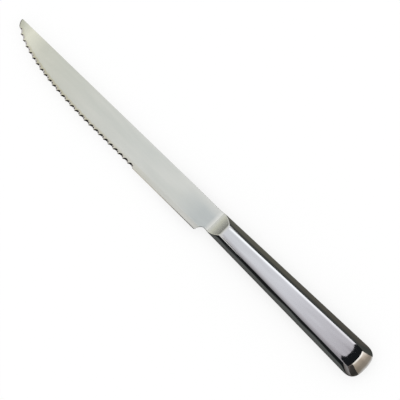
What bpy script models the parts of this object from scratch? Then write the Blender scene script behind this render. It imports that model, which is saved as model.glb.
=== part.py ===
"""Carving knife: a serrated stainless blade with its tang cast into a hollow stainless handle.

Units are metres. The knife lies on the flat back of its handle. +X runs from the tip to the butt,
+Y from the cutting edge to the spine, and +Z up. Every piece is modelled round the middle of the
handle mouth, on the middle plane of the blade, and an empty then places them all.
"""
import math

import bmesh
import bpy
from mathutils import Vector

# Blade
BLADE_LENGTH = 0.1903        # tip to handle mouth
BLADE_WIDTH = 0.022          # spine to edge at the heel
BLADE_THICKNESS = 0.0018
TIP_CURVE_LENGTH = 0.088     # stretch of the edge that sweeps up to the tip
TIP_CURVE_POWER = 2.1        # power of the superellipse that it follows
EDGE_RISE = 0.001            # how much the straight stretch rises from the heel to that curve
TIP_RADIUS = 0.0008          # corner between the spine and the tip
EDGE_BREAK = 0.0002          # rounding of the stamped edges
HEEL_SETBACK = 0.0069        # heel to handle mouth
HEEL_ROUND = 0.25            # radius of the heel's corner, as a share of the step to the neck
CHOIL_LENGTH = 0.0031        # slanted notch between the heel and the neck
CHOIL_SHARE = 0.66           # its height, as a share of that step
CHOIL_HOLLOW = 0.0004        # how much it curves inwards
NECK_WIDTH = 0.0164
SPINE_DIP = 0.0002           # the spine falls this much to the neck
SPINE_DIP_LENGTH = 0.025

# Ground edge and serrations
EDGE_STOCK = 0.0004          # left on the stamped blank for grinding
BEVEL_WIDTH = 0.0036
HONE_WIDTH = 0.0005          # steeper cutting bevel along the edge itself
HONE_SLOPE = 0.7
BEVEL_OVERRUN = 1.1          # the wheels reach this many bevel widths in from the edge
BEVEL_BEND_LIMIT = 0.8       # widest bevel round the tip, in radii of the edge's bend there
EDGE_THICKNESS = 0.0002
SCALLOP_PITCH = 0.0046
SCALLOP_DEPTH = 0.0014
SCALLOP_COUNT = 27
SCALLOP_TILT = math.radians(45)
TOOTH_SETBACK = 0.00005      # the tooth points stand this much behind the plain edge
PLAIN_TIP = 0.0057           # plain edge between the tip and the first scallop, along the edge

# Tang, inside the handle
TANG_LENGTH = 0.078
TANG_WIDTH = 0.0096
TANG_END_RADIUS = 0.003
TANG_NOTCH_RADIUS = 0.0018
TANG_NOTCH_PAIRS = 2
TANG_CLEARANCE = 0.0001

# Handle
HANDLE_LENGTH = 0.140
HANDLE_THICKNESS = 0.012
BUTT_WIDTH = 0.0243
HANDLE_DROP = 0.0009         # the handle's centre line falls this much from mouth to butt
BUTT_ROUND_LENGTH = 0.0105   # plan length of the rounded butt
BUTT_ROUND_POWER = 2.8       # power of the superellipse that rounds it
LIP_HEIGHT = 0.0003          # the mouth stands this much proud of the neck
SIDE_CHAMFER = 0.0029        # side wall, seen from above
SIDE_ROLL = 0.0042           # rolled edge between a side wall and the flat
BUTT_CHAMFER = 0.0070
BUTT_ROLL = 0.0085
RAMP_RUN = 0.0075            # concave ramp at the front
RAMP_ROLL = 0.0025
RAMP_SLOPE = 0.25            # rise over run of the ramp where it leaves the mouth
WALL_POWER = 1.15            # 1 makes the walls flat, and more makes them bow out
ROLL_POWER = 3.0             # the higher, the more softly a rolled edge runs out on the flat
RIDGE_RADIUS = 0.0006        # corner between the ramp and a side wall, at the top of the ramp
MOUTH_RADIUS = 0.0002        # the same corner at the mouth
SHEET_THICKNESS = 0.0009
BELT_SHARE = 0.8             # inside, how far the plain belt reaches up to the next step of the wall
FRONT_WALL = 0.003           # pinched front end, behind the mouth
FILLER_CLEARANCE = 0.0005

# Welds
SEAM_WIDTH = 0.0008
FILLET_LENGTH = 0.0018
FILLET_TOE = 0.00008         # thickness of the fillet where it runs out on the blade
WELD_GAP = 0.00005

# Facets
CURVE_STEPS = 60
SCALLOP_STEPS = 12
ARC_STEPS = 6
SIDE_STEPS = 2
BUTT_STEPS = 28
FRONT_STEPS = 2
WALL_STEPS = 5
ROLL_STEPS = 6
ROLL_SPACING = 0.66          # below 1, the steps of a rolled edge grow wider towards the flat
SOFT_ANGLE = math.radians(30)
SMALLEST_TURN = math.radians(0.01)

# Worked out from the sizes above
HALF_BLADE = BLADE_THICKNESS / 2
HALF_EDGE = EDGE_THICKNESS / 2
HALF_NECK = NECK_WIDTH / 2
HALF_TANG = TANG_WIDTH / 2
HALF_HANDLE = HANDLE_THICKNESS / 2
HALF_MOUTH = HALF_NECK + LIP_HEIGHT
HALF_BUTT = BUTT_WIDTH / 2
HALF_SEAM = SEAM_WIDTH / 2
BELT_HEIGHT = HALF_BLADE + LIP_HEIGHT
RISE = HALF_HANDLE - BELT_HEIGHT
RAMP_END_SLOPE = (RISE - RAMP_SLOPE * RAMP_RUN / 2) / (RAMP_RUN / 2 + RAMP_ROLL / ROLL_POWER)
RAMP_BEND = (RAMP_END_SLOPE - RAMP_SLOPE) / RAMP_RUN
RAMP_DROP = RAMP_END_SLOPE * RAMP_ROLL / ROLL_POWER
RAMP_TILT = math.atan((RAMP_SLOPE + RAMP_END_SLOPE) / 2)
TIP_X = -BLADE_LENGTH
HEEL_X = -HEEL_SETBACK
SPINE_Y = HALF_NECK + SPINE_DIP
HEEL_Y = SPINE_Y - BLADE_WIDTH
HEEL_STEP = -HALF_NECK - HEEL_Y
CURVE_DEPTH = BLADE_WIDTH - EDGE_RISE
HONE_HEIGHT = HALF_EDGE + HONE_SLOPE * HONE_WIDTH
BEVEL_SLOPE = (HALF_BLADE - HONE_HEIGHT) / (BEVEL_WIDTH - HONE_WIDTH)
LEVELS = 2 + WALL_STEPS + ROLL_STEPS


def remove_old_objects():
    for old in list(bpy.data.objects):
        bpy.data.objects.remove(old, do_unlink=True)


def finish(name, colour, roughness, metallic):
    material = bpy.data.materials.new(name)
    material.use_nodes = True
    shader = material.node_tree.nodes["Principled BSDF"]
    shader.inputs["Base Color"].default_value = (*colour, 1.0)
    shader.inputs["Roughness"].default_value = roughness
    shader.inputs["Metallic"].default_value = metallic
    return material


def steel(name, colour, roughness):
    return finish(name, colour, roughness, 1.0)


def make_object(name, bm, parent, material=None):
    bmesh.ops.recalc_face_normals(bm, faces=bm.faces)
    mesh = bpy.data.meshes.new(name)
    bm.to_mesh(mesh)
    bm.free()
    mesh.shade_smooth()
    mesh.set_sharp_from_angle(angle=SOFT_ANGLE)
    made = bpy.data.objects.new(name, mesh)
    bpy.context.scene.collection.objects.link(made)
    made.parent = parent
    if material:
        mesh.materials.append(material)
    return made


def make_cutter(name, bm, parent):
    cutter = make_object(name, bm, parent)
    cutter.hide_render = True
    cutter.display_type = "WIRE"
    return cutter


def cut(target, cutter):
    boolean = target.modifiers.new(cutter.name, "BOOLEAN")
    boolean.operation = "DIFFERENCE"
    boolean.solver = "EXACT"
    boolean.object = cutter


def add_loop(bm, points):
    return [bm.verts.new(point) for point in points]


def bridge(bm, loop_a, loop_b):
    """Faces between two closed loops with the same number of points."""
    for i in range(len(loop_a)):
        j = (i + 1) % len(loop_a)
        bm.faces.new((loop_a[i], loop_a[j], loop_b[j], loop_b[i]))


def loft(sections):
    """A solid through closed loops, capped at both ends."""
    bm = bmesh.new()
    loops = [add_loop(bm, section) for section in sections]
    for loop_a, loop_b in zip(loops, loops[1:]):
        bridge(bm, loop_a, loop_b)
    bm.faces.new(loops[0])
    bm.faces.new(loops[-1])
    return bm


def slab(outline, low, high):
    """A flat plate with the given outline between two heights."""
    return loft([[(x, y, z) for x, y in outline] for z in (low, high)])


def arc(centre, radius, start, end, steps=ARC_STEPS):
    """Points on an arc, both ends included, with its angles in degrees."""
    points = []
    for i in range(steps + 1):
        angle = math.radians(start + (end - start) * i / steps)
        points.append(centre + radius * Vector((math.cos(angle), math.sin(angle))))
    return points


def hollow(start, end, depth):
    """Points on a shallow curve between two points, both included, that bows to the left."""
    chord = end - start
    left = Vector((-chord.y, chord.x)).normalized()
    points = []
    for i in range(ARC_STEPS + 1):
        share = i / ARC_STEPS
        points.append(start + chord * share + left * depth * 4 * share * (1 - share))
    return points


def edge_curve():
    """The curved stretch of the edge, a quarter superellipse from the tip's corner to the straight."""
    power = 2 / TIP_CURVE_POWER
    first = math.asin((TIP_RADIUS / CURVE_DEPTH) ** (1 / power))
    points = []
    for i in range(CURVE_STEPS + 1):
        angle = first + (math.pi / 2 - first) * i / CURVE_STEPS
        along = TIP_X + TIP_CURVE_LENGTH * (1 - max(0, math.cos(angle)) ** power)
        points.append(Vector((along, SPINE_Y - CURVE_DEPTH * math.sin(angle) ** power)))
    return points


def tang_outline(clearance, front):
    """Notched tang from its front to its end, on the edge side and back on the spine side."""
    half = HALF_TANG + clearance
    end = TANG_LENGTH + clearance
    end_radius = TANG_END_RADIUS + clearance
    notch_radius = TANG_NOTCH_RADIUS - clearance
    half_notch = math.sqrt(notch_radius ** 2 - clearance ** 2)
    opening = math.degrees(math.atan2(clearance, half_notch))
    lower = [Vector((front, -half))]
    for i in range(TANG_NOTCH_PAIRS):
        centre = Vector((TANG_LENGTH * (i + 1) / (TANG_NOTCH_PAIRS + 1), -HALF_TANG))
        lower += arc(centre, notch_radius, 180 + opening, -opening, 2 * ARC_STEPS)
    lower += arc(Vector((end - end_radius, -half + end_radius)), end_radius, -90, 0)
    upper = [Vector((point.x, -point.y)) for point in reversed(lower)]
    return lower + upper


def blank_outline():
    """Outline of the stamped blade and tang, anticlockwise from the mouth along the spine."""
    heel_radius = HEEL_ROUND * HEEL_STEP
    choil_foot = Vector((HEEL_X, -HALF_NECK - CHOIL_SHARE * HEEL_STEP))
    choil_top = Vector((HEEL_X + CHOIL_LENGTH, -HALF_NECK))
    points = [Vector((-WELD_GAP, HALF_NECK)), Vector((HEEL_X, HALF_NECK))]
    points.append(Vector((HEEL_X - SPINE_DIP_LENGTH, SPINE_Y)))
    points += arc(Vector((TIP_X + TIP_RADIUS, SPINE_Y - TIP_RADIUS)), TIP_RADIUS, 90, 150)
    curve = edge_curve()
    for before, after in zip(curve[1:], curve[3:]):
        ahead = (after - before).normalized()
        points.append((before + after) / 2 + EDGE_STOCK * Vector((ahead.y, -ahead.x)))
    points.append(Vector((HEEL_X - 2 * heel_radius, HEEL_Y - EDGE_STOCK)))
    points += arc(Vector((HEEL_X - heel_radius, HEEL_Y + heel_radius)), heel_radius, -60, 0)
    points += hollow(choil_foot, choil_top, CHOIL_HOLLOW)
    points.append(Vector((-WELD_GAP, -HALF_NECK)))
    points += tang_outline(0, -WELD_GAP)
    return points


def along_edge(line, distance):
    """Point and outward direction at a distance along a line of points."""
    for start, end in zip(line, line[1:]):
        length = (end - start).length
        if distance <= length or end == line[-1]:
            ahead = (end - start) / length
            return start + ahead * distance, Vector((ahead.y, -ahead.x))
        distance -= length


def sweep(stations):
    """A solid through sections. Each is a point, an outward direction and corners round them."""
    sections = []
    for point, outward, corners in stations:
        sections.append([(*(point + outward * out), height) for out, height in corners])
    return loft(sections)


def edge_wheels(parent):
    """What the wheels take off both faces along the edge, from the tip round to past the heel."""
    clear = BLADE_THICKNESS
    outer = 2 * EDGE_STOCK

    def corners(bend):
        inner = BEVEL_OVERRUN * min(BEVEL_WIDTH, BEVEL_BEND_LIMIT * bend)
        hone = min(HONE_WIDTH, inner / 2)
        height = HALF_EDGE + HONE_SLOPE * hone
        upper = [(-inner, clear), (-inner, height + BEVEL_SLOPE * (inner - hone)), (-hone, height)]
        upper.append((0, HALF_EDGE))
        lower = [(out, -level) for out, level in reversed(upper)]
        return upper + lower + [(outer, -clear), (outer, clear)]

    line = [Vector((TIP_X, SPINE_Y + BEVEL_WIDTH))] + edge_curve()
    line.append(Vector((HEEL_X + CHOIL_LENGTH, HEEL_Y)))
    steps = [end - start for start, end in zip(line, line[1:])]
    stations = []
    for point, before, after in zip(line, steps[:1] + steps, steps + steps[-1:]):
        ahead = (before.normalized() + after.normalized()).normalized()
        bend = min(before.length, after.length) / max(before.angle(after), SMALLEST_TURN)
        stations.append((point, Vector((ahead.y, -ahead.x)), corners(bend)))
    return make_cutter("edge_wheels", sweep(stations), parent)


def scallop_cutter(parent):
    """One swept cutter for all the scallops, tilted so that they show on the upper face."""
    radius = (SCALLOP_PITCH ** 2 / 4 + SCALLOP_DEPTH ** 2) / (2 * SCALLOP_DEPTH)
    lean = math.tan(SCALLOP_TILT)
    top = HALF_BLADE + EDGE_BREAK
    clear = 2 * SCALLOP_DEPTH + lean * top
    line = edge_curve() + [Vector((HEEL_X, HEEL_Y))]

    def station(distance, depth):
        point, outward = along_edge(line, distance)
        low = -depth + lean * (top - HALF_EDGE)
        high = -depth - lean * (top + HALF_EDGE)
        return point, outward, [(low, -top), (clear, -top), (clear, top), (high, top)]

    run_out = SCALLOP_PITCH / 4
    stations = [station(PLAIN_TIP - run_out, -lean * EDGE_THICKNESS - TOOTH_SETBACK)]
    for i in range(SCALLOP_COUNT * SCALLOP_STEPS + 1):
        along = i * SCALLOP_PITCH / SCALLOP_STEPS
        from_middle = (i % SCALLOP_STEPS / SCALLOP_STEPS - 0.5) * SCALLOP_PITCH
        depth = math.sqrt(radius ** 2 - from_middle ** 2) - radius + SCALLOP_DEPTH
        stations.append(station(PLAIN_TIP + along, depth + TOOTH_SETBACK))
    last = PLAIN_TIP + SCALLOP_COUNT * SCALLOP_PITCH
    stations.append(station(last + run_out, -lean * EDGE_THICKNESS - TOOTH_SETBACK))
    return make_cutter("scallop_wheel", sweep(stations), parent)


def make_blade(parent):
    bm = slab(blank_outline(), -HALF_BLADE, HALF_BLADE)
    bmesh.ops.recalc_face_normals(bm, faces=bm.faces)
    heel_start = HEEL_X - HEEL_ROUND * HEEL_STEP
    ground = {v for v in bm.verts if v.co.x < heel_start and v.co.y < SPINE_Y - TIP_RADIUS}
    rims = [edge for edge in bm.edges if edge.verts[0].co.z == edge.verts[1].co.z]
    rims = [edge for edge in rims if not ground.intersection(edge.verts)]
    bmesh.ops.bevel(bm, geom=rims, offset=EDGE_BREAK, offset_type="OFFSET", segments=2,
                    profile=0.5, affect="EDGES")
    blade = make_object("blade", bm, parent, steel("satin_steel", (0.57, 0.58, 0.54), 0.32))
    cut(blade, edge_wheels(parent))
    cut(blade, scallop_cutter(parent))
    return blade


def wall_point(level, offset, chamfer, roll):
    """Inset and height on the handle's section at a level, moved inwards by an offset."""
    if level == 0:
        return offset, HALF_SEAM
    if level == 1:
        next_height = wall_point(2, offset, chamfer, roll)[1]
        return offset, min(BELT_HEIGHT, HALF_SEAM + BELT_SHARE * (next_height - HALF_SEAM))
    slope = RISE / (WALL_POWER * chamfer + roll / ROLL_POWER)
    drop = slope * roll / ROLL_POWER
    if level <= WALL_STEPS + 1:
        share = (level - 1) / WALL_STEPS
        inset = chamfer * share ** WALL_POWER
        height = BELT_HEIGHT + (RISE - drop) * share
        ahead = Vector((chamfer * WALL_POWER * share ** (WALL_POWER - 1), RISE - drop))
    else:
        share = 1 - (1 - (level - 1 - WALL_STEPS) / ROLL_STEPS) ** ROLL_SPACING
        inset = chamfer + roll * share
        height = HALF_HANDLE - drop * (1 - share) ** ROLL_POWER
        ahead = Vector((roll, drop * ROLL_POWER * (1 - share) ** (ROLL_POWER - 1)))
    ahead.normalize()
    return inset + offset * ahead.y, height - offset * ahead.x


def ramp_inset(height, offset, front):
    """How far behind the mouth the ramp and its rolled edge reach a height."""
    rise = height + offset * math.cos(RAMP_TILT) - BELT_HEIGHT
    rise = max(0, min(RISE, rise))
    if rise <= RISE - RAMP_DROP:
        inset = (math.sqrt(RAMP_SLOPE ** 2 + 2 * RAMP_BEND * rise) - RAMP_SLOPE) / RAMP_BEND
    else:
        inset = RAMP_RUN + RAMP_ROLL * (1 - ((RISE - rise) / RAMP_DROP) ** (1 / ROLL_POWER))
    return max(front, inset + offset * math.sin(RAMP_TILT))


def handle_loop(level, offset=0.0, front=0.0):
    """Closed loop round a half handle at a level, anticlockwise from its front edge-side corner."""
    side_inset, side_height = wall_point(level, offset, SIDE_CHAMFER, SIDE_ROLL)
    butt_inset, butt_height = wall_point(level, offset, BUTT_CHAMFER, BUTT_ROLL)
    start = ramp_inset(side_height, offset, front)
    end = HANDLE_LENGTH - butt_inset
    ridge = MOUTH_RADIUS + (RIDGE_RADIUS - MOUTH_RADIUS) * min(1, start / RAMP_RUN)

    def half_width(x):
        return HALF_MOUTH + (HALF_BUTT - HALF_MOUTH) * x / HANDLE_LENGTH - side_inset

    def centre(x):
        return -HANDLE_DROP * x / HANDLE_LENGTH

    round_length = BUTT_ROUND_LENGTH * half_width(end) / HALF_BUTT
    round_start = end - round_length
    square = half_width(start) - ridge
    half = [(start, square * i / FRONT_STEPS, side_height) for i in range(FRONT_STEPS)]
    for i in range(ARC_STEPS):
        angle = math.pi / 2 * i / ARC_STEPS
        x = start + ridge * (1 - math.cos(angle))
        half.append((x, half_width(x) - ridge * (1 - math.sin(angle)), side_height))
    for i in range(SIDE_STEPS):
        x = start + ridge + (round_start - start - ridge) * i / SIDE_STEPS
        half.append((x, half_width(x), side_height))
    for i in range(BUTT_STEPS // 2 + 1):
        angle = math.pi / 2 * i / (BUTT_STEPS // 2)
        x = round_start + round_length * math.sin(angle) ** (2 / BUTT_ROUND_POWER)
        width = half_width(x) * max(0, math.cos(angle)) ** (2 / BUTT_ROUND_POWER)
        height = side_height + (butt_height - side_height) * math.sin(angle) ** 2
        half.append((x, width, height))
    edge_side = [(x, centre(x) - y, z) for x, y, z in half]
    spine_side = [(x, centre(x) + y, z) for x, y, z in reversed(half[1:-1])]
    return edge_side + spine_side


def flipped(points, side):
    return [(x, y, side * z) for x, y, z in points]


def tang_slot(parent):
    """Cutter for the tang's slot through the front of the handle and into the filler."""
    outline = tang_outline(TANG_CLEARANCE, -FRONT_WALL)
    height = HALF_BLADE + TANG_CLEARANCE
    return make_cutter("tang_slot", slab(outline, -height, height), parent)


def make_shell(name, side, slot, parent, material):
    """A pressed half of the handle, upper for side 1 and lower for side -1."""
    outer = [flipped(handle_loop(level), side) for level in range(LEVELS)]
    inner = [flipped(handle_loop(level, SHEET_THICKNESS, FRONT_WALL), side) for level in range(LEVELS)]
    shell = make_object(name, loft(list(reversed(inner)) + outer), parent, material)
    cut(shell, slot)
    return shell


def make_filler(slot, parent):
    offset = SHEET_THICKNESS + FILLER_CLEARANCE
    upper = [handle_loop(level, offset, FRONT_WALL + FILLER_CLEARANCE) for level in range(LEVELS)]
    lower = [flipped(loop, -1) for loop in reversed(upper)]
    cement = finish("cast_cement", (0.46, 0.44, 0.40), 0.9, 0.0)
    filler = make_object("tang_filler", loft(lower + upper), parent, cement)
    cut(filler, slot)
    return filler


def make_seam_weld(slot, parent):
    """Flat weld run between the rims of the two shells, open only where the tang passes."""
    height = HALF_SEAM - WELD_GAP
    outer = handle_loop(0)
    inner = handle_loop(0, SHEET_THICKNESS, FRONT_WALL)
    bm = bmesh.new()
    loops = []
    for loop, z in ((outer, height), (inner, height), (inner, -height), (outer, -height)):
        loops.append(add_loop(bm, [(x, y, z) for x, y, _ in loop]))
    for loop_a, loop_b in zip(loops, loops[1:] + loops[:1]):
        bridge(bm, loop_a, loop_b)
    weld = make_object("seam_weld", bm, parent, steel("ground_seam", (0.52, 0.51, 0.49), 0.25))
    cut(weld, slot)
    return weld


def make_mouth_weld(parent):
    """Concave fillet round the neck, from the mouth's lip down to the blade."""

    def frame(x, rise):
        half_y = HALF_NECK + rise
        half_z = HALF_BLADE + rise
        return [(x, -half_y, -half_z), (x, half_y, -half_z), (x, half_y, half_z), (x, -half_y, half_z)]

    sections = [frame(-WELD_GAP, WELD_GAP)]
    for i in range(ARC_STEPS + 1):
        share = i / ARC_STEPS
        rise = FILLET_TOE + (LIP_HEIGHT - FILLET_TOE) * (1 - share) ** 2
        sections.append(frame(-WELD_GAP - FILLET_LENGTH * share, rise + WELD_GAP * share))
    sections.append(frame(-WELD_GAP - FILLET_LENGTH, WELD_GAP))
    bm = bmesh.new()
    loops = [add_loop(bm, section) for section in sections]
    for loop_a, loop_b in zip(loops, loops[1:] + loops[:1]):
        bridge(bm, loop_a, loop_b)
    return make_object("mouth_weld", bm, parent, steel("ground_fillet", (0.55, 0.55, 0.52), 0.28))


def make_knife():
    """An empty on the handle mouth, placed so that the origin is under the middle of the knife."""
    top = max(y for _, y, _ in handle_loop(0))
    knife = bpy.data.objects.new("knife", None)
    knife.location = ((BLADE_LENGTH - HANDLE_LENGTH) / 2, -(top + HEEL_Y) / 2, HALF_HANDLE)
    bpy.context.scene.collection.objects.link(knife)
    slot = tang_slot(knife)
    polished = steel("polished_steel", (0.60, 0.60, 0.60), 0.12)
    make_blade(knife)
    make_shell("upper_handle_shell", 1, slot, knife, polished)
    make_shell("lower_handle_shell", -1, slot, knife, polished)
    make_seam_weld(slot, knife)
    make_mouth_weld(knife)
    make_filler(slot, knife)


remove_old_objects()
make_knife()
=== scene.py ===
import math

import bmesh
import bpy
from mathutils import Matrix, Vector


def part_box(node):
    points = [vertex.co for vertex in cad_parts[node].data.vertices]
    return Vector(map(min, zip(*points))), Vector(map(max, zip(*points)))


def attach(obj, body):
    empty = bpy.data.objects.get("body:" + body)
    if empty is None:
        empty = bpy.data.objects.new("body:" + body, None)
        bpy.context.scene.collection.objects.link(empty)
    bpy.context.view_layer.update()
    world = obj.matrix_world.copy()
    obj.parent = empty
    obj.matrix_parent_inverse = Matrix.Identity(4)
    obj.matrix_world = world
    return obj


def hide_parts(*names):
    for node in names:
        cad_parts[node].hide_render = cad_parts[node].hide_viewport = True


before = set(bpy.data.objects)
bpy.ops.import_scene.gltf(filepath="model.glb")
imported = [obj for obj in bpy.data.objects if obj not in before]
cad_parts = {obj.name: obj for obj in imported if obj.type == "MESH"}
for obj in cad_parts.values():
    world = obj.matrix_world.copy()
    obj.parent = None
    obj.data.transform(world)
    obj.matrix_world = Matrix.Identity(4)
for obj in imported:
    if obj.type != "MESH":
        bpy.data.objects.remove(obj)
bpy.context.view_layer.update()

# The knife's own sizes, in metres, as the CAD has them.
BLADE_LENGTH = 0.1903
BLADE_WIDTH = 0.022
BLADE_THICKNESS = 0.0018
TIP_CURVE_LENGTH = 0.088
TIP_CURVE_POWER = 2.1
EDGE_RISE = 0.001
TIP_RADIUS = 0.0008
EDGE_BREAK = 0.0002
HEEL_SETBACK = 0.0069
HEEL_ROUND = 0.25
CHOIL_LENGTH = 0.0031
CHOIL_SHARE = 0.66
CHOIL_HOLLOW = 0.0004
NECK_WIDTH = 0.0164
SPINE_DIP = 0.0002
SPINE_DIP_LENGTH = 0.025
EDGE_STOCK = 0.0004
BEVEL_WIDTH = 0.0036
HONE_WIDTH = 0.0005
HONE_SLOPE = 0.7
BEVEL_OVERRUN = 1.1
BEVEL_BEND_LIMIT = 0.8
EDGE_THICKNESS = 0.0002
SCALLOP_PITCH = 0.0046
SCALLOP_DEPTH = 0.0014
SCALLOP_COUNT = 27
SCALLOP_TILT = math.radians(45)
TOOTH_SETBACK = 0.00005
PLAIN_TIP = 0.0057
TANG_LENGTH = 0.078
TANG_WIDTH = 0.0096
TANG_END_RADIUS = 0.003
TANG_NOTCH_RADIUS = 0.0018
TANG_NOTCH_PAIRS = 2
TANG_CLEARANCE = 0.0001
HANDLE_LENGTH = 0.140
HANDLE_THICKNESS = 0.012
BUTT_WIDTH = 0.0243
HANDLE_DROP = 0.0009
BUTT_ROUND_LENGTH = 0.0105
BUTT_ROUND_POWER = 2.8
LIP_HEIGHT = 0.0003
SIDE_CHAMFER = 0.0029
SIDE_ROLL = 0.0042
BUTT_CHAMFER = 0.0070
BUTT_ROLL = 0.0085
RAMP_RUN = 0.0075
RAMP_ROLL = 0.0025
RAMP_SLOPE = 0.25
WALL_POWER = 1.15
ROLL_POWER = 3.0
RIDGE_RADIUS = 0.0006
MOUTH_RADIUS = 0.0002
SHEET_THICKNESS = 0.0009
FRONT_WALL = 0.003
SEAM_WIDTH = 0.0008
FILLET_LENGTH = 0.0018
FILLET_TOE = 0.00008
WELD_GAP = 0.00005

# Facets, fine enough that polished steel shows none.
CURVE_STEPS = 132
SCALLOP_STEPS = 24
ARC_STEPS = 10
RIM_STEPS = 6
FRONT_STEPS = 20
SIDE_STEPS = 56
BUTT_STEPS = 40
WALL_RUNGS = 24
ROLL_RUNGS = 40
HIDDEN_RUNGS = 6
BLANK_STRIDE = 3             # the blank's edge is ground away, so it takes every third step
STRAIGHT = 1e-4              # radians, below which a bend counts as none

HALF_BLADE = BLADE_THICKNESS / 2
HALF_EDGE = EDGE_THICKNESS / 2
HALF_NECK = NECK_WIDTH / 2
HALF_TANG = TANG_WIDTH / 2
HALF_HANDLE = HANDLE_THICKNESS / 2
HALF_MOUTH = HALF_NECK + LIP_HEIGHT
HALF_BUTT = BUTT_WIDTH / 2
HALF_SEAM = SEAM_WIDTH / 2
BELT_HEIGHT = HALF_BLADE + LIP_HEIGHT
RISE = HALF_HANDLE - BELT_HEIGHT
RAMP_END_SLOPE = (RISE - RAMP_SLOPE * RAMP_RUN / 2) / (RAMP_RUN / 2 + RAMP_ROLL / ROLL_POWER)
RAMP_BEND = (RAMP_END_SLOPE - RAMP_SLOPE) / RAMP_RUN
RAMP_DROP = RAMP_END_SLOPE * RAMP_ROLL / ROLL_POWER
RAMP_TILT = math.atan((RAMP_SLOPE + RAMP_END_SLOPE) / 2)
TIP_X = -BLADE_LENGTH
HEEL_X = -HEEL_SETBACK
SPINE_Y = HALF_NECK + SPINE_DIP
HEEL_Y = SPINE_Y - BLADE_WIDTH
HEEL_STEP = -HALF_NECK - HEEL_Y
CURVE_DEPTH = BLADE_WIDTH - EDGE_RISE
HONE_HEIGHT = HALF_EDGE + HONE_SLOPE * HONE_WIDTH
BEVEL_SLOPE = (HALF_BLADE - HONE_HEIGHT) / (BEVEL_WIDTH - HONE_WIDTH)

# The pieces are drawn round the middle of the handle mouth, which the fillet weld rings.
weld_low, weld_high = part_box("mouth_weld")
MOUTH = Vector((weld_high.x + WELD_GAP, (weld_low.y + weld_high.y) / 2, (weld_low.z + weld_high.z) / 2))


# Camera: almost straight above, with a long lens, and the knife slanting down to the right.
VIEW_AZIMUTH = 44.19
VIEW_ELEVATION = 83.0
VIEW_DISTANCE = 2.1485
VIEW_TARGET = Vector((0.007, 0.0048, 0.006))
FOCAL_RATIO = 8.0            # lens to sensor width


def set_camera():
    azimuth, elevation = math.radians(VIEW_AZIMUTH), math.radians(VIEW_ELEVATION)
    back = Vector((math.sin(azimuth) * math.cos(elevation), -math.cos(azimuth) * math.cos(elevation),
                   math.sin(elevation)))
    camera = bpy.data.objects.new("photo_camera", bpy.data.cameras.new("photo_camera"))
    camera.data.lens = FOCAL_RATIO * camera.data.sensor_width
    camera.location = VIEW_TARGET + VIEW_DISTANCE * back
    camera.rotation_euler = (-back).to_track_quat("-Z", "Y").to_euler()
    bpy.context.scene.collection.objects.link(camera)
    bpy.context.scene.camera = camera


# Shaping helpers

# Edges that turn more than this many degrees stay sharp.
TOOL_SHARP = 30
BLADE_SHARP = 11
HANDLE_SHARP = 40


def soften(mesh, sharp_angle):
    """Smooth shading, with the sharper edges kept."""
    mesh.shade_smooth()
    mesh.set_sharp_from_angle(angle=math.radians(sharp_angle))


def new_piece(name, bm, sharp_angle):
    """A mesh drawn round the handle mouth becomes an object in its place on the knife."""
    bmesh.ops.recalc_face_normals(bm, faces=bm.faces)
    bmesh.ops.translate(bm, verts=bm.verts, vec=MOUTH)
    mesh = bpy.data.meshes.new(name)
    bm.to_mesh(mesh)
    bm.free()
    soften(mesh, sharp_angle)
    piece = bpy.data.objects.new(name, mesh)
    bpy.context.scene.collection.objects.link(piece)
    return piece


def loft(sections, closed=False):
    """A skin through closed loops of points, capped at both ends or joined into a ring."""
    bm = bmesh.new()
    loops = [[bm.verts.new(point) for point in section] for section in sections]
    pairs = list(zip(loops, loops[1:]))
    if closed:
        pairs.append((loops[-1], loops[0]))
    else:
        bm.faces.new(loops[0])
        bm.faces.new(loops[-1])
    for loop_a, loop_b in pairs:
        for i in range(len(loop_a)):
            j = (i + 1) % len(loop_a)
            bm.faces.new((loop_a[i], loop_a[j], loop_b[j], loop_b[i]))
    return bm


def slab(outline, low, high):
    """A plate of this outline between two heights."""
    return loft([[(x, y, z) for x, y in outline] for z in (low, high)])


def cut_away(piece, tools, sharp_angle):
    """Cuts the tools out of a piece, throws them away, and keeps the cut mesh."""
    for tool in tools:
        cut = piece.modifiers.new(tool.name, "BOOLEAN")
        cut.operation = "DIFFERENCE"
        cut.solver = "EXACT"
        cut.object = tool
    graph = bpy.context.evaluated_depsgraph_get()
    mesh = bpy.data.meshes.new_from_object(piece.evaluated_get(graph))
    piece.modifiers.clear()
    piece.data = mesh
    soften(mesh, sharp_angle)
    for tool in tools:
        bpy.data.objects.remove(tool, do_unlink=True)


def arc(centre, radius, start, end, steps=ARC_STEPS):
    """Points on an arc whose start and end are in degrees."""
    points = []
    for i in range(steps + 1):
        angle = math.radians(start + (end - start) * i / steps)
        points.append(centre + radius * Vector((math.cos(angle), math.sin(angle))))
    return points


# Blade

def edge_curve():
    """The belly of the edge from the tip's corner to the straight stretch."""
    power = 2 / TIP_CURVE_POWER
    first = math.asin((TIP_RADIUS / CURVE_DEPTH) ** (1 / power))
    points = []
    for i in range(CURVE_STEPS + 1):
        angle = first + (math.pi / 2 - first) * i / CURVE_STEPS
        along = TIP_X + TIP_CURVE_LENGTH * (1 - max(0, math.cos(angle)) ** power)
        points.append(Vector((along, SPINE_Y - CURVE_DEPTH * math.sin(angle) ** power)))
    return points


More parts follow.
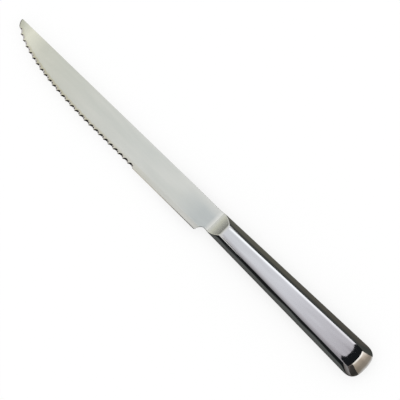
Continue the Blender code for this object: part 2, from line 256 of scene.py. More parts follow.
def tang_outline(clearance, front):
    """The notched tang from its front end, drawn larger by a clearance."""
    half = HALF_TANG + clearance
    end = TANG_LENGTH + clearance
    end_radius = TANG_END_RADIUS + clearance
    notch_radius = TANG_NOTCH_RADIUS - clearance
    opening = math.degrees(math.asin(clearance / notch_radius))
    lower = [Vector((front, -half))]
    for i in range(TANG_NOTCH_PAIRS):
        centre = Vector((TANG_LENGTH * (i + 1) / (TANG_NOTCH_PAIRS + 1), -HALF_TANG))
        lower += arc(centre, notch_radius, 180 + opening, -opening, 2 * ARC_STEPS)
    lower += arc(Vector((end - end_radius, -half + end_radius)), end_radius, -90, 0)
    return lower + [Vector((point.x, -point.y)) for point in reversed(lower)]


def blank_outline():
    """The stamped strip, from the neck round the spine, tip, edge and choil to the tang.

    Along the edge it has stock for the wheels to grind away.
    """
    heel_radius = HEEL_ROUND * HEEL_STEP
    choil_foot = Vector((HEEL_X, -HALF_NECK - CHOIL_SHARE * HEEL_STEP))
    choil_top = Vector((HEEL_X + CHOIL_LENGTH, -HALF_NECK))
    points = [Vector((-WELD_GAP, HALF_NECK)), Vector((HEEL_X, HALF_NECK))]
    points.append(Vector((HEEL_X - SPINE_DIP_LENGTH, SPINE_Y)))
    points += arc(Vector((TIP_X + TIP_RADIUS, SPINE_Y - TIP_RADIUS)), TIP_RADIUS, 90, 150)
    curve = edge_curve()
    stretch = curve[BLANK_STRIDE + 1::BLANK_STRIDE]
    for before, after in zip(stretch, stretch[1:]):
        ahead = (after - before).normalized()
        points.append((before + after) / 2 + EDGE_STOCK * Vector((ahead.y, -ahead.x)))
    points.append(Vector((HEEL_X - 2 * heel_radius, HEEL_Y - EDGE_STOCK)))
    points += arc(Vector((HEEL_X - heel_radius, HEEL_Y + heel_radius)), heel_radius, -60, 0)
    chord = choil_top - choil_foot
    left = Vector((-chord.y, chord.x)).normalized()
    for i in range(ARC_STEPS + 1):
        share = i / ARC_STEPS
        points.append(choil_foot + chord * share + left * CHOIL_HOLLOW * 4 * share * (1 - share))
    points.append(Vector((-WELD_GAP, -HALF_NECK)))
    return points + tang_outline(0, -WELD_GAP)


def sweep(stations):
    """A solid through sections, each a point, an outward direction and the corners round them."""
    return loft([[(*(point + outward * out), height) for out, height in corners]
                 for point, outward, corners in stations])


def edge_wheels():
    """The wheels that grind both faces along the edge, from the tip round to the heel."""
    line = [Vector((TIP_X, SPINE_Y + BEVEL_WIDTH))] + edge_curve()
    line.append(Vector((HEEL_X + CHOIL_LENGTH, HEEL_Y)))
    steps = [end - start for start, end in zip(line, line[1:])]
    stations = []
    for point, before, after in zip(line, steps[:1] + steps, steps + steps[-1:]):
        ahead = (before.normalized() + after.normalized()).normalized()
        bend = min(before.length, after.length) / max(before.angle(after), STRAIGHT)
        inner = BEVEL_OVERRUN * min(BEVEL_WIDTH, BEVEL_BEND_LIMIT * bend)
        hone = min(HONE_WIDTH, inner / 2)
        height = HALF_EDGE + HONE_SLOPE * hone
        crest = height + BEVEL_SLOPE * (inner - hone)
        upper = [(-inner, BLADE_THICKNESS), (-inner, crest), (-hone, height), (0, HALF_EDGE)]
        lower = [(out, -rise) for out, rise in reversed(upper)]
        outer = [(2 * EDGE_STOCK, -BLADE_THICKNESS), (2 * EDGE_STOCK, BLADE_THICKNESS)]
        stations.append((point, Vector((ahead.y, -ahead.x)), upper + lower + outer))
    return new_piece("edge_wheels", sweep(stations), TOOL_SHARP)


def scallop_wheel():
    """The row of scallops, ground at a tilt from the shown face."""
    radius = (SCALLOP_PITCH ** 2 / 4 + SCALLOP_DEPTH ** 2) / (2 * SCALLOP_DEPTH)
    lean = math.tan(SCALLOP_TILT)
    top = HALF_BLADE + EDGE_BREAK
    clear = 2 * SCALLOP_DEPTH + lean * top
    line = edge_curve() + [Vector((HEEL_X, HEEL_Y))]
    lengths = [(end - start).length for start, end in zip(line, line[1:])]

    def station(distance, depth):
        i = 0
        while distance > lengths[i] and i < len(lengths) - 1:
            distance -= lengths[i]
            i += 1
        ahead = (line[i + 1] - line[i]).normalized()
        low = -depth + lean * (top - HALF_EDGE)
        high = -depth - lean * (top + HALF_EDGE)
        corners = [(low, -top), (clear, -top), (clear, top), (high, top)]
        return line[i] + ahead * distance, Vector((ahead.y, -ahead.x)), corners

    run_out = SCALLOP_PITCH / 4
    stations = [station(PLAIN_TIP - run_out, -lean * EDGE_THICKNESS - TOOTH_SETBACK)]
    for i in range(SCALLOP_COUNT * SCALLOP_STEPS + 1):
        from_middle = (i % SCALLOP_STEPS / SCALLOP_STEPS - 0.5) * SCALLOP_PITCH
        depth = math.sqrt(radius ** 2 - from_middle ** 2) - radius + SCALLOP_DEPTH
        stations.append(station(PLAIN_TIP + i * SCALLOP_PITCH / SCALLOP_STEPS, depth + TOOTH_SETBACK))
    last = PLAIN_TIP + SCALLOP_COUNT * SCALLOP_PITCH
    stations.append(station(last + run_out, -lean * EDGE_THICKNESS - TOOTH_SETBACK))
    return new_piece("scallop_wheel", sweep(stations), TOOL_SHARP)


def make_blade():
    """The stamped strip, its rims rounded except along the edge, which the wheels then grind."""
    bm = slab(blank_outline(), -HALF_BLADE, HALF_BLADE)
    bmesh.ops.recalc_face_normals(bm, faces=bm.faces)
    heel_start = HEEL_X - HEEL_ROUND * HEEL_STEP
    ground = {v for v in bm.verts if v.co.x < heel_start and v.co.y < SPINE_Y - TIP_RADIUS}
    rims = [edge for edge in bm.edges if edge.verts[0].co.z == edge.verts[1].co.z]
    rims = [edge for edge in rims if not ground.intersection(edge.verts)]
    bmesh.ops.bevel(bm, geom=rims, offset=EDGE_BREAK, offset_type="OFFSET", segments=RIM_STEPS,
                    profile=0.5, affect="EDGES")
    blade = new_piece("serrated_blade", bm, BLADE_SHARP)
    cut_away(blade, [edge_wheels(), scallop_wheel()], BLADE_SHARP)
    normals = blade.modifiers.new("flat_faces_stay_flat", "WEIGHTED_NORMAL")
    normals.keep_sharp = True
    normals.weight = 100
    return blade


# Handle

def wall_point(rung, offset, chamfer, roll):
    """Inset and height on the handle's section. Rungs go from the seam up the wall to the flat."""
    part, share = rung
    if part == "seam":
        return offset, HALF_SEAM
    slope = RISE / (WALL_POWER * chamfer + roll / ROLL_POWER)
    drop = slope * roll / ROLL_POWER
    if part == "wall":
        inset = chamfer * share ** WALL_POWER
        height = BELT_HEIGHT + (RISE - drop) * share
        ahead = Vector((chamfer * WALL_POWER * share ** (WALL_POWER - 1), RISE - drop))
    else:
        inset = chamfer + roll * share
        height = HALF_HANDLE - drop * (1 - share) ** ROLL_POWER
        ahead = Vector((roll, drop * ROLL_POWER * (1 - share) ** (ROLL_POWER - 1)))
    ahead.normalize()
    return inset + offset * ahead.y, height - offset * ahead.x


def ramp_inset(height, offset, front):
    """How far behind the mouth the ramp and its rolled edge reach a height."""
    rise = height + offset * math.cos(RAMP_TILT) - BELT_HEIGHT
    rise = max(0, min(RISE, rise))
    if rise <= RISE - RAMP_DROP:
        inset = (math.sqrt(RAMP_SLOPE ** 2 + 2 * RAMP_BEND * rise) - RAMP_SLOPE) / RAMP_BEND
    else:
        inset = RAMP_RUN + RAMP_ROLL * (1 - ((RISE - rise) / RAMP_DROP) ** (1 / ROLL_POWER))
    return max(front, inset + offset * math.sin(RAMP_TILT))


def handle_loop(rung, offset=0.0, front=0.0):
    """Closed loop round half a handle, from the middle of the ramp round the butt and back."""
    side_inset, side_height = wall_point(rung, offset, SIDE_CHAMFER, SIDE_ROLL)
    butt_inset, butt_height = wall_point(rung, offset, BUTT_CHAMFER, BUTT_ROLL)
    start = ramp_inset(side_height, offset, front)
    end = HANDLE_LENGTH - butt_inset
    ridge = MOUTH_RADIUS + (RIDGE_RADIUS - MOUTH_RADIUS) * min(1, start / RAMP_RUN)

    def half_width(x):
        return HALF_MOUTH + (HALF_BUTT - HALF_MOUTH) * x / HANDLE_LENGTH - side_inset

    def centre(x):
        return -HANDLE_DROP * x / HANDLE_LENGTH

    round_length = BUTT_ROUND_LENGTH * half_width(end) / HALF_BUTT
    round_start = end - round_length
    front_half = half_width(start) - ridge
    half = [(start, front_half * i / FRONT_STEPS, side_height) for i in range(FRONT_STEPS)]
    for i in range(ARC_STEPS):
        angle = math.pi / 2 * i / ARC_STEPS
        x = start + ridge * (1 - math.cos(angle))
        half.append((x, half_width(x) - ridge * (1 - math.sin(angle)), side_height))
    for i in range(SIDE_STEPS):
        x = start + ridge + (round_start - start - ridge) * i / SIDE_STEPS
        half.append((x, half_width(x), side_height))
    for i in range(BUTT_STEPS + 1):
        angle = math.pi / 2 * i / BUTT_STEPS
        x = round_start + round_length * math.sin(angle) ** (2 / BUTT_ROUND_POWER)
        width = half_width(x) * max(0, math.cos(angle)) ** (2 / BUTT_ROUND_POWER)
        half.append((x, width, side_height + (butt_height - side_height) * math.sin(angle) ** 2))
    edge_side = [(x, centre(x) - y, z) for x, y, z in half]
    spine_side = [(x, centre(x) + y, z) for x, y, z in reversed(half[1:-1])]
    return edge_side + spine_side


def handle_skin(wall_rungs, roll_rungs, offset=0.0, front=0.0):
    """Loops from the seam up the wall and over the rolled edge to the flat."""
    rungs = [("seam", 0)]
    rungs += [("wall", i / wall_rungs) for i in range(wall_rungs)]
    rungs += [("roll", i / roll_rungs) for i in range(roll_rungs + 1)]
    return [handle_loop(rung, offset, front) for rung in rungs]


def tang_slot():
    """The room that the tang takes up, with its clearance."""
    height = HALF_BLADE + TANG_CLEARANCE
    outline = tang_outline(TANG_CLEARANCE, -FRONT_WALL)
    return new_piece("tang_slot", slab(outline, -height, height), TOOL_SHARP)


def make_shell(name, side):
    """One half shell, on the shown side for side 1 and on the back for -1."""
    outer = handle_skin(WALL_RUNGS, ROLL_RUNGS)
    inner = handle_skin(HIDDEN_RUNGS, HIDDEN_RUNGS, SHEET_THICKNESS, FRONT_WALL)
    sections = [[(x, y, side * z) for x, y, z in loop] for loop in inner[::-1] + outer]
    shell = new_piece(name, loft(sections), HANDLE_SHARP)
    cut_away(shell, [tang_slot()], HANDLE_SHARP)
    return shell


def make_seam():
    """The weld between the rims of the shells, ground flush, open where the tang passes."""
    height = HALF_SEAM - WELD_GAP
    outer = handle_loop(("seam", 0))
    inner = handle_loop(("seam", 0), SHEET_THICKNESS, FRONT_WALL)
    sections = []
    for loop, z in ((outer, height), (inner, height), (inner, -height), (outer, -height)):
        sections.append([(x, y, z) for x, y, _ in loop])
    seam = new_piece("ground_seam", loft(sections, closed=True), HANDLE_SHARP)
    cut_away(seam, [tang_slot()], HANDLE_SHARP)
    return seam


def make_fillet():
    """The concave weld fillet round the neck, with its corners blended."""

    def ring(x, rise):
        half_y, half_z = HALF_NECK + rise, HALF_BLADE + rise
        corner = min(rise + EDGE_BREAK, half_z)
        points = []
        for turn, sign_y, sign_z in ((180, -1, -1), (270, 1, -1), (0, 1, 1), (90, -1, 1)):
            centre = Vector((sign_y * (half_y - corner), sign_z * (half_z - corner)))
            points += [(x, point.x, point.y) for point in arc(centre, corner, turn, turn + 90)]
        return points

    sections = [ring(-WELD_GAP, WELD_GAP)]
    for i in range(ARC_STEPS + 1):
        share = i / ARC_STEPS
        rise = FILLET_TOE + (LIP_HEIGHT - FILLET_TOE) * (1 - share) ** 2
        sections.append(ring(-WELD_GAP - FILLET_LENGTH * share, rise + WELD_GAP * share))
    sections.append(ring(-WELD_GAP - FILLET_LENGTH, WELD_GAP))
    return new_piece("neck_fillet", loft(sections, closed=True), HANDLE_SHARP)


# Finishes

# Sockets of a Mix node go by number, because their names repeat.
SHARE, VALUE_A, VALUE_B, COLOUR_A, COLOUR_B = 0, 2, 3, 6, 7
MIXED_VALUE, MIXED_COLOUR = 0, 2
NOISE_SPAN = (0.3, 0.7)      # noise seldom goes past these

# Patterns: the size of their features along X, Y and Z, in millimetres, and their detail. Real grinding
# lines are about 0.05 mm apart, too fine to show, so the streaks are drawn 0.9 mm apart.
STREAKS = ((45, 0.9, 0.9), 3)
TONES = ((55, 9, 9), 2)
HAZE = ((30, 6, 6), 1)
RIPPLES = ((0.7, 0.7, 0.7), 2)
GRAINS = ((0.6, 0.6, 0.6), 4)

SATIN_ROUGHNESS = (0.29, 0.35)
SCALLOP_ROUGHNESS = 0.1
BUFFED_ROUGHNESS = (0.05, 0.08)
RAMP_ROUGHNESS = (0.24, 0.32)
WELD_ROUGHNESS = (0.18, 0.3)
CEMENT_ROUGHNESS = 0.9

# Stretches over which the blade's painted tints come or go, in metres from the tip, mouth, spine or edge:
# painted reflection, highlights and shade.
PAINTED_TINT_START = (0.003, 0.011)
BEVEL_REFLECTION_END = (0.075, 0.150)
TIP_HIGHLIGHT_END = (0.012, 0.025)
HEEL_SHADE_START = (-0.032, -0.012)
HEEL_SHADE_SPINE_END = (-0.007, -0.001)
HEEL_SHADE_EDGE_START = (0.0025, 0.0045)
FILLET_HIGHLIGHT_START = (-0.0034, -0.0010)

# Ranges of a normal's upward, backward or sideways part over which one surface gives way to another.
FACE_UP = (0.3, 0.5)
BEVEL_UP = (0.998, 0.9998)
SCALLOP_UP = (0.8, 0.9)
# Scallop flanks whose backward part passes this range get painted shade.
SHADED_FLANK_BACK = (0.1, 0.35)
RAMP_SIDEWAYS = (0.3, 0.5)


def linear(code):
    """sRGB hex to the linear colour that shaders take."""
    values = [int(code[i:i + 2], 16) / 255 for i in (1, 3, 5)]
    return [v / 12.92 if v <= 0.04045 else ((v + 0.055) / 1.055) ** 2.4 for v in values] + [1.0]


def add(tree, kind, inputs=(), **settings):
    """Adds a node with its settings. Inputs go by name or in order, as values or as sockets to link."""
    made = tree.nodes.new("ShaderNode" + kind)
    for name, value in settings.items():
        setattr(made, name, value)
    for key, value in inputs.items() if isinstance(inputs, dict) else enumerate(inputs):
        if isinstance(value, bpy.types.NodeSocket):
            tree.links.new(value, made.inputs[key])
        else:
            made.inputs[key].default_value = value
    return made


def new_finish(name, *patterns):
    """A material, its nodes, its shader, and noise for each of its patterns."""
    finish = bpy.data.materials.new(name)
    finish.use_nodes = True
    tree = finish.node_tree
    place = add(tree, "TexCoord").outputs["Object"]
    noises = []
    for size_mm, detail in patterns:
        scale = [1000 / size for size in size_mm]
        stretched = add(tree, "Mapping", {"Vector": place, "Scale": scale}).outputs["Vector"]
        noise = add(tree, "TexNoise", {"Vector": stretched, "Scale": 1.0, "Detail": detail})
        noises.append(noise.outputs["Fac"])
    return finish, tree, tree.nodes["Principled BSDF"], noises


def satin_ground_stainless():
    """Stainless strip, satin-ground lengthwise: soft wide reflections with faint streaks along it.

    A pale warm tint on the front of the bevel is a painted reflection, and the tip is painted brighter, a
    painted highlight. The scallops, ground last with a finer wheel, are shinier; they are painted a shade
    darker, and much darker on the flanks that face the butt: painted shade. The heel is painted a shade
    cooler and darker, less so along the spine and the edge: painted shade. The fillet weld round the neck,
    and the blade just before it, are painted paler: a painted highlight.
    """
    finish, tree, steel, (streaks, tones) = new_finish("satin_ground_stainless", STREAKS, TONES)
    steel.inputs["Metallic"].default_value = 1.0
    place = add(tree, "TexCoord")
    spot = add(tree, "SeparateXYZ", [place.outputs["Object"]]).outputs
    facing = add(tree, "SeparateXYZ", [place.outputs["Normal"]]).outputs
    upward = add(tree, "Math", [facing["Z"]], operation="ABSOLUTE").outputs[0]
    tip = MOUTH.x + TIP_X
    spine = MOUTH.y + HALF_NECK
    edge = MOUTH.y + HEEL_Y
    # What each mask measures, from where, over which stretch, and its values before and after that. The
    # strip's own sides, at the spine and choil, are not on the face.
    stretches = {
        "off_tip": (spot["X"], tip, PAINTED_TINT_START, 0, 1),
        "forward": (spot["X"], tip, BEVEL_REFLECTION_END, 1, 0),
        "at_tip": (spot["X"], tip, TIP_HIGHLIGHT_END, 1, 0),
        "near_neck": (spot["X"], MOUTH.x, HEEL_SHADE_START, 0, 1),
        "on_fillet": (spot["X"], MOUTH.x, FILLET_HIGHLIGHT_START, 0, 1),
        "off_spine": (spot["Y"], spine, HEEL_SHADE_SPINE_END, 1, 0),
        "off_edge": (spot["Y"], edge, HEEL_SHADE_EDGE_START, 0, 1),
        "on_face": (upward, 0, FACE_UP, 0, 1),
        "leaning": (upward, 0, BEVEL_UP, 1, 0),
        "steep": (upward, 0, SCALLOP_UP, 1, 0),
        "backward": (facing["X"], 0, SHADED_FLANK_BACK, 0, 1),
    }
    masks = {}
    for name, (measure, origin, (start, end), before, after) in stretches.items():
        reach = [measure, origin + start, origin + end, before, after]
        masks[name] = add(tree, "MapRange", reach).outputs[0]
    share = add(tree, "MapRange", [tones, *NOISE_SPAN, 0, 1]).outputs[0]
    shades = {SHARE: share, COLOUR_A: linear("#CCCECB"), COLOUR_B: linear("#D9D9D6")}
    colour = add(tree, "Mix", shades, data_type="RGBA").outputs[MIXED_COLOUR]
    # Each tint lies over those before it, where all its masks meet. Each is painted light: painted shade,
    # painted highlights or a painted reflection.
    tints = {
        # Painted shade: the heel darker and cooler, less so along the spine and the edge.
        "heel_painted_shade": ("#C0C4C4", "near_neck", "off_spine", "off_edge"),
        # Painted highlight: the fillet weld and the blade just before it paler.
        "fillet": ("#DCDCD9", "on_fillet"),
        # Painted reflection: a pale warm tint on the bevel, fading from the tip towards the heel.
        "bevel_painted_reflection": ("#CBC8BA", "leaning", "on_face", "forward", "off_tip"),
        # Painted highlight: the tip brighter.
        "tip_painted_highlight": ("#ECEBE6", "off_tip", "at_tip"),
        # Painted shade: the scallops a shade darker. Their lower roughness below is real.
        "scallop": ("#BAB6B2", "steep", "on_face"),
        # Painted shade: the scallop flanks that face the butt much darker.
        "flank_painted_shade": ("#564C46", "scallop", "backward"),
    }
    for name, (code, first, *others) in tints.items():
        mask = masks[first]
        for other in others:
            mask = add(tree, "Math", [mask, masks[other]], operation="MULTIPLY").outputs[0]
        masks[name] = mask
        tinted = {SHARE: mask, COLOUR_A: colour, COLOUR_B: linear(code)}
        colour = add(tree, "Mix", tinted, data_type="RGBA").outputs[MIXED_COLOUR]
    tree.links.new(colour, steel.inputs["Base Color"])
    satin = add(tree, "MapRange", [streaks, *NOISE_SPAN, *SATIN_ROUGHNESS]).outputs[0]
    rough = add(tree, "Mix", {SHARE: masks["scallop"], VALUE_A: satin, VALUE_B: SCALLOP_ROUGHNESS})
    tree.links.new(rough.outputs[MIXED_VALUE], steel.inputs["Roughness"])
    bump = add(tree, "Bump", {"Height": streaks, "Strength": 0.05, "Distance": 0.00002})
    tree.links.new(bump.outputs["Normal"], steel.inputs["Normal"])
    return finish


def mirror_polished_stainless():
    """Pressed stainless sheet, buffed to a mirror with a faint haze and slow waves.

    The ramps keep the blade's satin.
    """
    finish, tree, steel, (haze, streaks) = new_finish("mirror_polished_stainless", HAZE, STREAKS)
    steel.inputs["Metallic"].default_value = 1.0
    # The ramps are the front of the handle, apart from its sides.
    place = add(tree, "TexCoord")
    spot = add(tree, "SeparateXYZ", [place.outputs["Object"]]).outputs
    facing = add(tree, "SeparateXYZ", [place.outputs["Normal"]]).outputs
    sideways = add(tree, "Math", [facing["Y"]], operation="ABSOLUTE").outputs[0]
    top = MOUTH.x + RAMP_RUN
    front = add(tree, "MapRange", [spot["X"], top - RAMP_ROLL / 2, top + RAMP_ROLL / 2, 1, 0]).outputs[0]
    ahead = add(tree, "MapRange", [sideways, *RAMP_SIDEWAYS, 1, 0]).outputs[0]
    ramp = add(tree, "Math", [front, ahead], operation="MULTIPLY").outputs[0]
    hazy = {SHARE: haze, COLOUR_A: linear("#CACACC"), COLOUR_B: linear("#CFCED1")}
    bright = add(tree, "Mix", hazy, data_type="RGBA").outputs[MIXED_COLOUR]
    ramped = {SHARE: ramp, COLOUR_A: bright, COLOUR_B: linear("#D0D0CD")}
    colour = add(tree, "Mix", ramped, data_type="RGBA").outputs[MIXED_COLOUR]
    tree.links.new(colour, steel.inputs["Base Color"])
    buffed = add(tree, "MapRange", [haze, *NOISE_SPAN, *BUFFED_ROUGHNESS]).outputs[0]
    satin = add(tree, "MapRange", [streaks, *NOISE_SPAN, *RAMP_ROUGHNESS]).outputs[0]
    rough = add(tree, "Mix", {SHARE: ramp, VALUE_A: buffed, VALUE_B: satin})
    tree.links.new(rough.outputs[MIXED_VALUE], steel.inputs["Roughness"])
    waves = add(tree, "Bump", {"Height": haze, "Strength": 1.0, "Distance": 0.00012})
    tree.links.new(waves.outputs["Normal"], steel.inputs["Normal"])
    return finish


def ground_weld_steel():
    """Weld metal ground flush and buffed: a little rougher and greyer than the sheet beside it."""
    finish, tree, steel, (ripples,) = new_finish("ground_weld_steel", RIPPLES)
    steel.inputs["Metallic"].default_value = 1.0
    shades = {SHARE: ripples, COLOUR_A: linear("#B9B8B2"), COLOUR_B: linear("#C9C8C3")}
    colour = add(tree, "Mix", shades, data_type="RGBA")
    tree.links.new(colour.outputs[MIXED_COLOUR], steel.inputs["Base Color"])
    rough = add(tree, "MapRange", [ripples, *NOISE_SPAN, *WELD_ROUGHNESS])
    tree.links.new(rough.outputs[0], steel.inputs["Roughness"])
    bump = add(tree, "Bump", {"Height": ripples, "Strength": 0.1, "Distance": 0.00005})
    tree.links.new(bump.outputs["Normal"], steel.inputs["Normal"])
    return finish


def cast_cement():
    """Sand-filled cement, cast round the tang: matt, warm grey, with pores."""
    finish, tree, cement, (grains,) = new_finish("cast_cement", GRAINS)
    cement.inputs["Roughness"].default_value = CEMENT_ROUGHNESS
    shades = {SHARE: grains, COLOUR_A: linear("#98938A"), COLOUR_B: linear("#BDB7AB")}
    colour = add(tree, "Mix", shades, data_type="RGBA")
    tree.links.new(colour.outputs[MIXED_COLOUR], cement.inputs["Base Color"])
    bump = add(tree, "Bump", {"Height": grains, "Strength": 0.5, "Distance": 0.0002})
    tree.links.new(bump.outputs["Normal"], cement.inputs["Normal"])
    return finish


# Studio: a white table, and cards round it that the polished steel reflects

FLOOR_HALF = 6.0
PANEL_HEIGHT = 0.55
PANEL_END_X = 0.150
PANEL_END_Y = 0.46
BLADE_PANEL_HEIGHT = 0.20
BLADE_PANEL_END_X = 0.012
HANDLE_PANEL_GLOW = 1.66
BLADE_PANEL_GLOW = 1.6
BUTT_CARD_GLOW = 1.6
SPLIT_X = -0.015             # cards on the tip side of this are for the blade, the others for the handle
TIP_WALL_X = -0.65
BUTT_WALL_X = 0.50
EDGE_WALL_Y = -0.42
SPINE_WALL_Y = 0.30
SPINE_FLAG_HEIGHT = 0.31
FLAG_LIFT = 0.0003
CARD_GAP = 0.001             # between cards that hang in front of each other
DARK_START_X = -0.20         # low down, the edge side is bright up to here and dark beyond
DARK_HEIGHT = 0.14
DARK_FLOOR_END_Y = -0.03
EDGE_FLAG_START_X = -0.05
EDGE_FLAG_END_X = 0.21
TOP_LIGHT_END_X = 0.20
TOP_LIGHT_FOOT = 0.25
END_LIGHT_START_X = 0.16
END_LIGHT_FOOT = 0.34
CEILING_REACH = 0.6
CEILING_GAP = 0.02
BUTT_CARD_X = 0.47
BUTT_CARD_TOP = 0.46
BUTT_CARD_SLANT = 0.12       # rise of its upper edge for each metre towards the spine side
BUTT_CARD_MIDDLE_Y = 0.02
BUTT_CARD_END_Y = 0.35
BUTT_CORNER_Y = -0.06


def lay_flat(name, corners, finish):
    """One flat face of the studio."""
    mesh = bpy.data.meshes.new(name)
    mesh.from_pydata(corners, [], [list(range(len(corners)))])
    mesh.materials.append(finish)
    flat = bpy.data.objects.new(name, mesh)
    bpy.context.scene.collection.objects.link(flat)
    return flat


def glow(name, strength, *gradients):
    """A card's finish, which gives its own light. Each gradient is an axis and colour stops along it."""
    finish = bpy.data.materials.new(name)
    finish.use_nodes = True
    tree = finish.node_tree
    tree.nodes.clear()
    axes = add(tree, "SeparateXYZ", [add(tree, "TexCoord").outputs["Object"]]).outputs
    colour = None
    for axis, stops in gradients:
        low, high = stops[0][0], stops[-1][0]
        along = add(tree, "MapRange", [axes[axis], low, high, 0, 1])
        ramp = add(tree, "ValToRGB", [along.outputs[0]])
        while len(ramp.color_ramp.elements) < len(stops):
            ramp.color_ramp.elements.new(0.5)
        for element, (position, code) in zip(ramp.color_ramp.elements, stops):
            element.position = (position - low) / (high - low)
            element.color = linear(code)
        if colour is None:
            colour = ramp.outputs["Color"]
        else:
            both = {SHARE: 1.0, COLOUR_A: colour, COLOUR_B: ramp.outputs["Color"]}
            colour = add(tree, "Mix", both, data_type="RGBA", blend_type="MULTIPLY").outputs[MIXED_COLOUR]
    lamp = add(tree, "Emission", {"Color": colour, "Strength": strength})
    add(tree, "OutputMaterial", {"Surface": lamp.outputs["Emission"]})
    return finish


def hang_card(name, corners, *gradients, strength=1.0):
    """A card that the knife reflects and the camera doesn't see."""
    card = lay_flat(name, corners, glow(name, strength, *gradients))
    card.visible_camera = False
    card.visible_diffuse = False
    card.visible_shadow = False


def upright(start, end, low, high):
    """Corners of an upright card on the line from start to end."""
    return [(*start, low), (*end, low), (*end, high), (*start, high)]


def level(x_low, x_high, y_low, y_high, z):
    """Corners of a level card."""
    return [(x_low, y_low, z), (x_high, y_low, z), (x_high, y_high, z), (x_low, y_high, z)]


def edge_wall(start_x, end_x, low, high, gaps=0):
    """Corners of a card on the wall at the edge side, some gaps in front of it."""
    y = EDGE_WALL_Y + gaps * CARD_GAP
    return upright((start_x, y), (end_x, y), low, high)


def hang_panels():
    """The broad lights overhead: one that the handle's flat reflects, and a lower one for the blade."""
    # The end is cut aslant, so that the black before the butt starts along a slanting line.
    outline = [(SPLIT_X, EDGE_WALL_Y), (0.128, EDGE_WALL_Y), (0.136, -0.20), (0.140, 0.02),
               (PANEL_END_X, 0.045), (0.178, 0.11), (0.178, PANEL_END_Y), (SPLIT_X, PANEL_END_Y)]
    hang_card("handle_panel", [(x, y, PANEL_HEIGHT) for x, y in outline],
              ("Y", [(EDGE_WALL_Y, "#9C999B"), (-0.08, "#BAB6B8"), (0.05, "#CDCCCE"), (0.20, "#FFFFFF"),
                     (PANEL_END_Y, "#FFFFFF")]),
              ("X", [(SPLIT_X, "#FAFFFF"), (0.06, "#FAFDFF"), (0.135, "#DDDCDE"), (PANEL_END_X, "#D4D2D4")]),
              strength=HANDLE_PANEL_GLOW)
    hang_card("blade_panel",
              level(TIP_WALL_X, BLADE_PANEL_END_X, EDGE_WALL_Y, PANEL_END_Y, BLADE_PANEL_HEIGHT),
              ("Y", [(EDGE_WALL_Y, "#CACAC8"), (-0.1, "#CDCCC8"), (-0.03, "#CECECC"), (0.0, "#D2D3D3"),
                     (0.08, "#DCDEDE"), (PANEL_END_Y, "#DCDEDE")]),
              ("X", [(TIP_WALL_X, "#B0B0AA"), (-0.32, "#C4C4BC"), (-0.23, "#E4E3D0"), (-0.12, "#EAEAE7"),
                     (-0.06, "#FAFAFA"), (BLADE_PANEL_END_X, "#FAFAF8")]),
              strength=BLADE_PANEL_GLOW)
    hang_card("blade_fill", edge_wall(TIP_WALL_X, SPLIT_X, DARK_HEIGHT, BLADE_PANEL_HEIGHT),
              ("Z", [(0, "#FFFAF0"), (PANEL_HEIGHT, "#FFF6E8")]))
    hang_card("tip_end_flag",
              upright((TIP_WALL_X, EDGE_WALL_Y), (TIP_WALL_X, PANEL_END_Y), 0, PANEL_HEIGHT),
              ("Z", [(0, "#9A9A94"), (PANEL_HEIGHT, "#9A9A94")]))


def hang_side_cards():
    """Cards at the edge and spine sides, on the walls and on the table."""
    # The scallops face the foot of the edge-side wall: bright towards the tip and dark towards the butt.
    dark_foot = ("X", [(DARK_START_X, "#3A3432"), (0, "#343434")])
    hang_card("scallop_flag", edge_wall(DARK_START_X, SPLIT_X, 0, DARK_HEIGHT), dark_foot)
    hang_card("scallop_floor_flag", level(DARK_START_X, SPLIT_X, EDGE_WALL_Y, DARK_FLOOR_END_Y, FLAG_LIFT),
              dark_foot)
    # The handle's sides reflect flags: grey and brown at the foot, black above them.
    hang_card("edge_side_flag", edge_wall(EDGE_FLAG_START_X, EDGE_FLAG_END_X, 0, PANEL_HEIGHT, 1),
              ("Z", [(0, "#6A6E6A"), (0.012, "#6A6E6A"), (0.026, "#1E2020"), (PANEL_HEIGHT, "#1C1C1C")]))
    hang_card("edge_top_light", edge_wall(SPLIT_X, TOP_LIGHT_END_X, TOP_LIGHT_FOOT, PANEL_HEIGHT, 2),
              ("X", [(SPLIT_X, "#B4B2B4"), (0.165, "#B4B2B4"), (0.195, "#242424"),
                     (TOP_LIGHT_END_X, "#242424")]),
              ("Z", [(TOP_LIGHT_FOOT, "#404040"), (0.33, "#FFFFFF"), (PANEL_HEIGHT, "#FFFFFF")]))
    hang_card("edge_far_card", edge_wall(EDGE_FLAG_END_X, BUTT_WALL_X, 0, PANEL_HEIGHT),
              ("Z", [(0, "#6A6E6A"), (0.012, "#6A6E6A"), (0.026, "#3A3836"), (0.12, "#6E6A66"),
                     (0.3, "#A09C98"), (PANEL_HEIGHT, "#B0ACA8")]))
    hang_card("edge_end_light", edge_wall(END_LIGHT_START_X, BUTT_WALL_X, END_LIGHT_FOOT, PANEL_HEIGHT, 4),
              ("Z", [(END_LIGHT_FOOT, "#5A5856"), (0.38, "#B4B2B2"), (PANEL_HEIGHT, "#C8C6C6")]))
    hang_card("edge_floor_flag", level(SPLIT_X, BUTT_WALL_X, EDGE_WALL_Y, 0, FLAG_LIFT),
              ("Y", [(EDGE_WALL_Y, "#6A6E6A"), (-0.05, "#666864"), (0, "#4A4A48")]))
    hang_card("spine_side_flag",
              upright((SPLIT_X, SPINE_WALL_Y), (BUTT_WALL_X, SPINE_WALL_Y), 0, SPINE_FLAG_HEIGHT),
              ("Z", [(0, "#6A655C"), (0.015, "#585650"), (0.04, "#4C4E4A"), (SPINE_FLAG_HEIGHT, "#50544E")]))
    hang_card("spine_floor_flag", level(SPLIT_X, BUTT_WALL_X, 0, SPINE_WALL_Y, FLAG_LIFT),
              ("Y", [(0, "#8E8C84"), (0.05, "#7A7870"), (SPINE_WALL_Y, "#5A5A54")]),
              ("X", [(0, "#E2E8E2"), (0.06, "#E8EAE0"), (0.09, "#DCDCD6"), (0.126, "#CFCDC8"),
                     (0.16, "#C8C4C2")]))


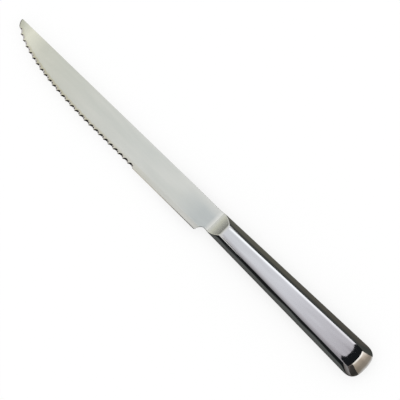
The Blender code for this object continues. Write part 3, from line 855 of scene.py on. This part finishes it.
def hang_butt_cards():
    """Behind the butt: black high up, and a beige card below it that fades downward."""

    def top_of(y):
        return (BUTT_CARD_X, y, BUTT_CARD_TOP + BUTT_CARD_SLANT * (y - BUTT_CARD_MIDDLE_Y))

    def leaning(y_low, y_high):
        return [(BUTT_WALL_X, y_low, 0), (BUTT_WALL_X, y_high, 0), top_of(y_high), top_of(y_low)]

    black = ("Z", [(0, "#1E2022"), (1, "#1E2022")])
    ceiling = PANEL_HEIGHT + CEILING_GAP
    hang_card("ceiling_flag", level(SPLIT_X, CEILING_REACH, -CEILING_REACH, CEILING_REACH, ceiling), black)
    hang_card("butt_flag", [top_of(-CEILING_REACH), top_of(CEILING_REACH),
                            (PANEL_END_X, CEILING_REACH, PANEL_HEIGHT),
                            (PANEL_END_X, -CEILING_REACH, PANEL_HEIGHT)], black)
    hang_card("butt_card", leaning(BUTT_CORNER_Y, BUTT_CARD_END_Y),
              ("Z", [(0, "#D8D8D6"), (0.16, "#C4C2BE"), (0.23, "#8A8276"), (0.275, "#8C8376"),
                     (0.31, "#B0A494"), (0.355, "#F4EEE2"), (BUTT_CARD_TOP, "#FFFCF4")]),
              ("Y", [(BUTT_CORNER_Y, "#DCDAD6"), (0.10, "#FFFFFF"), (BUTT_CARD_END_Y, "#FFFFFF")]),
              strength=BUTT_CARD_GLOW)
    hang_card("butt_corner_flag", leaning(EDGE_WALL_Y, BUTT_CORNER_Y),
              ("Z", [(0, "#6A635A"), (0.28, "#3A3834"), (0.37, "#4A4642"), (0.43, "#968C84"),
                     (BUTT_CARD_TOP, "#4A4642")]))


def set_floor():
    """A plain white table. A quarter of its white is light that falls on it, which keeps a soft shadow."""
    finish = bpy.data.materials.new("white_table")
    finish.use_nodes = True
    tree = finish.node_tree
    tree.nodes.clear()
    # White to the eye, and to glossy and transmitted rays, so that metal shows the white table too.
    path = add(tree, "LightPath").outputs
    seen = path["Is Camera Ray"]
    for kind in ("Is Glossy Ray", "Is Transmission Ray"):
        seen = add(tree, "Math", [seen, path[kind]], operation="MAXIMUM").outputs[0]
    paint = add(tree, "BsdfDiffuse", {"Color": linear("#898989")})
    light = add(tree, "Emission", {"Color": linear("#E1E1E1"), "Strength": seen})
    both = add(tree, "AddShader", [paint.outputs["BSDF"], light.outputs["Emission"]])
    add(tree, "OutputMaterial", {"Surface": both.outputs["Shader"]})
    lay_flat("white_table", level(-FLOOR_HALF, FLOOR_HALF, -FLOOR_HALF, FLOOR_HALF, 0), finish)


def set_world():
    world = bpy.data.worlds.new("white_room")
    world.use_nodes = True
    tree = world.node_tree
    tree.nodes.clear()
    room = add(tree, "Background", {"Color": linear("#FFFFFF"), "Strength": 1.0})
    add(tree, "OutputWorld", {"Surface": room.outputs["Background"]})
    bpy.context.scene.world = world


# The knife

def dress(piece, finish, node):
    """Gives a piece its finish and its place in the model."""
    piece.data.materials.clear()
    piece.data.materials.append(finish)
    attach(piece, "root")
    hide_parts(node)


bpy.context.scene.view_settings.view_transform = "Standard"
set_camera()
polished = mirror_polished_stainless()
weld = ground_weld_steel()
satin = satin_ground_stainless()
dress(make_blade(), satin, "blade")
dress(make_shell("polished_upper_shell", 1), polished, "upper_handle_shell")
dress(make_shell("polished_lower_shell", -1), polished, "lower_handle_shell")
dress(make_seam(), weld, "seam_weld")
dress(make_fillet(), satin, "mouth_weld")
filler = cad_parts["tang_filler"]
filler.data.materials.clear()
filler.data.materials.append(cast_cement())
hang_panels()
hang_side_cards()
hang_butt_cards()
set_floor()
set_world()
